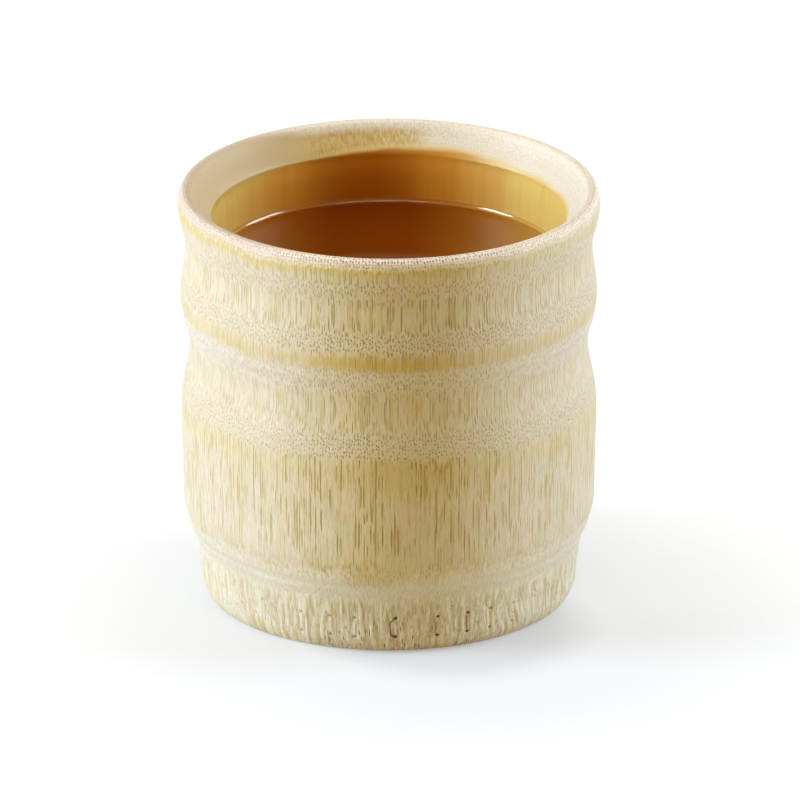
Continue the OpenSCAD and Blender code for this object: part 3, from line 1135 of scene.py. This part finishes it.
node_wood, tree = opened(bpy.data.materials.new("node_wood"))
place = place_mm()
mottle = rise(lumps(place, 2.5, 2.5, 4.0), 0.35, 0.65)
pores = lumps(place, 0.5, 0.5)
colour = mix(mottle, PALE_NODE, BROWN_NODE)
colour = painted(colour, PORE, rise(pores, 0.58, 0.72, 0.0, 0.7))
shade(Base_Color=colour, Normal=bumped(pores, 0.6, 0.15 * MM), Roughness=0.75)
partition.data.materials.append(node_wood)
print("nodes in the partition's wood:", len(tree.nodes))

# %% [markdown]
# The tea fills three quarters of the cup. At its edge it climbs the wall a little, and that thin
# curved rim, the meniscus, is what flashes in the light. The tea is a closed body that follows the
# lacquer down to the floor, with a hair of room between them. It is no part of the cup itself.

# %% Tea
TEA_LEVEL = 65.6 * MM
CLIMB, CLIMB_REACH, CLIMB_CURVE = 1.3 * MM, 0.6, 0.8
ROOM = 0.01 * MM
RIM_GAPS, NEAR_GAPS, INNER_GAPS = (0, 0.8, 0.05), (0.8, 4, 0.2), (4, 30, 3.0)
STILL_AT = 8.0

wetted = respaced(bare_face, 0.25 * MM)
wetted = wetted[wetted[:, 1] <= TEA_LEVEL + CLIMB]
gap = np.concatenate([np.arange(*gaps) for gaps in (RIM_GAPS, NEAR_GAPS, INNER_GAPS)])
surface_r = wetted[0, 0] - ROOM - gap * MM
surface_z = TEA_LEVEL + CLIMB * np.exp(-(gap / CLIMB_REACH) ** CLIMB_CURVE)
wet = respaced(wetted, 2.0 * MM) + np.array([-ROOM, ROOM])
wet[-1, 0] = 0
under = wet[:0:-1]
still = blend(gap, 0.0, STILL_AT)[:, None]
surface_rows = hollowed(surface_r, surface_z) * (1 - still) + surface_r[:, None] * still
tea_r = np.vstack([surface_rows, 0 * surface_rows[:1], hollowed(*under.T) * (under[:, :1] > 0)])
tea_z = np.concatenate([surface_z, [TEA_LEVEL], under[:, 1]])
tea = spin("tea", tea_r, spread(tea_z, COAT_COLUMNS))
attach(tea, "root")
print("tea level, mm:", round(TEA_LEVEL / MM, 1))

# %% [markdown]
# Deep tea swallows light, so we paint it as a dark body. It lightens towards both sides as a painted
# reflection of the lit walls. The brew mirrors little, because the photo's surface stays dark, and the
# rim mirrors more.

# %% Tea materials
TEA_MIDDLE, TEA_SPANS = -3.0, ((6.0, 22.0), (18.0, 33.0))
BREW = ((0.18, 0.032, 0.001), (0.28, 0.085, 0.004), (0.44, 0.22, 0.035))
RIM = ((0.40, 0.11, 0.004), (0.50, 0.19, 0.012), (0.62, 0.38, 0.07))
RIM_WIDTH, RIM_HEIGHT = 0.4 * MM, 0.3 * MM

for name, tones, ior, mirror, roughness in (
    ("tea_brew", BREW, 1.34, 0.2, 0.05),
    ("tea_rim", RIM, 1.7, 0.6, 0.12),
):
    brew, tree = opened(bpy.data.materials.new(name))
    # Painted reflection: the tea lightens towards both sides.
    colour = toned(off(axes(place_mm())[0], TEA_MIDDLE), TEA_SPANS, *tones)
    shade(Base_Color=colour, Roughness=roughness, IOR=ior)
    shade(Specular_IOR_Level=mirror, Specular_Tint=WARM_GLINT)
    tea.data.materials.append(brew)

rim_r = wetted[0, 0] - RIM_WIDTH
for face in tea.data.polygons:
    high = face.center.z > TEA_LEVEL + RIM_HEIGHT
    face.material_index = int(high and math.hypot(face.center.x, face.center.y) > rim_r)
print("faces in the tea:", len(tea.data.polygons))

# %% [markdown]
# The light is that of a small product studio: a cool softbox on each side, which draws the two pale
# flanks of the cup, and a wide warm panel overhead for the lip and the bevel.

# %% Light
LOOK_AT = Vector((0, 0, 0.04))
SOFTBOXES = (
    ("left_softbox", (-0.835, -0.15, 0.34), (0.4, 0.6), 8.2, (1.00, 1.25, 1.77)),
    ("right_softbox", (0.845, 0.09, 0.34), (0.5, 0.6), 6.0, (1.00, 1.28, 1.84)),
    ("top_panel", (0, -0.25, 1.5), (1.2, 1.2), 8.0, (1.0, 0.95, 0.70)),
)

for name, stand, size, power, colour in SOFTBOXES:
    lamp = bpy.data.lights.new(name, "AREA")
    lamp.shape = "RECTANGLE"
    lamp.size, lamp.size_y = size
    lamp.energy = power
    lamp.color = colour
    box = placed(name, lamp)
    box.location = stand
    box.rotation_euler = (LOOK_AT - Vector(stand)).to_track_quat("-Z", "Y").to_euler()
    print(name, "shines with", power, "W")

# %% [markdown]
# The world has two faces. The eye and the mirror see a white studio that dims towards the top. The
# light that falls on the cup is a warm fill, as from a room of wood.

# %% World
FILL = (0.20, 0.115, 0.004)
DIMMING = {"From Min": 0.08, "From Max": 0.25, "To Min": 1.0, "To Max": 0.2}


def seen_by_eye():
    """1 for camera, mirror and see-through rays, 0 for the light that falls on the cup."""
    path = add("LightPath").outputs
    direct = most(path["Is Camera Ray"], path["Is Glossy Ray"])
    return most(direct, path["Is Transmission Ray"])


studio, tree = opened(bpy.data.worlds.new("studio"))
bpy.context.scene.world = studio
tree.nodes.clear()
upward = axes(add("TexCoord").outputs["Generated"])[2]
dimmed = add("MapRange", {"Value": upward, **DIMMING}).outputs[0]
seen = add("Background", {"Color": dimmed}).outputs[0]
lit = add("Background", {"Color": FILL}).outputs[0]
whole = add("MixShader", {"Fac": seen_by_eye(), 1: lit, 2: seen}).outputs[0]
add("OutputWorld", {"Surface": whole})
print("nodes in the world:", len(tree.nodes))

# %% [markdown]
# The table is a wide white disc. Part of its white is a glow, so that it reaches the plain white of
# the photo. The glow is weaker near the foot, a painted shadow, and a little stronger to the right of
# the cup, painted light that thins the shadow there. To the light that bounces off it, it is a warm
# surface, which gives the foot its golden underglow.

# %% Table
TABLE_R, TABLE_SIDES = 6, 96
BOUNCE, WHITE, GLOW = (0.75, 0.61, 0.38), (0.356, 0.362, 0.345), (0.665, 0.665, 0.66)
SHADE_MIDDLE = (12.0, -22.0, 0.0)

bpy.ops.mesh.primitive_circle_add(vertices=TABLE_SIDES, radius=TABLE_R, fill_type="NGON")
floor = bpy.context.object
floor.name = "floor"
table, tree = opened(bpy.data.materials.new("white_table"))
place = place_mm()
apart = add("VectorMath", {0: place, 1: SHADE_MIDDLE}, operation="DISTANCE").outputs["Value"]
# Painted shadow: the glow grows weaker towards the foot.
near_foot = rise(apart, 17.0, 31.0, 0.55, 0.79)
strength = plus(near_foot, rise(apart, 31.0, 95.0, 0.0, 0.26))
right, back, _ = axes(place)
# Painted light: the glow is lifted to the right of the cup.
lift = times(rise(right, 20.0, 50.0, 0.0, 0.065), rise(back, -32.0, -5.0))
glow = add("Emission", {"Color": GLOW, "Strength": plus(strength, lift)}).outputs[0]
white = add("BsdfDiffuse", {"Color": WHITE}).outputs[0]
bounce = add("BsdfDiffuse", {"Color": BOUNCE}).outputs[0]
looks = add("AddShader", {0: white, 1: glow}).outputs[0]
whole = add("MixShader", {"Fac": seen_by_eye(), 1: bounce, 2: looks}).outputs[0]
feed(tree.nodes["Material Output"].inputs["Surface"], whole)
tree.nodes.remove(tree.nodes["Principled BSDF"])
floor.data.materials.append(table)
print("table, m across:", 2 * TABLE_R)

# %% [markdown]
# The standard view shows each colour as it is, so white stays white.

# %% Finish
bpy.context.scene.view_settings.view_transform = "Standard"
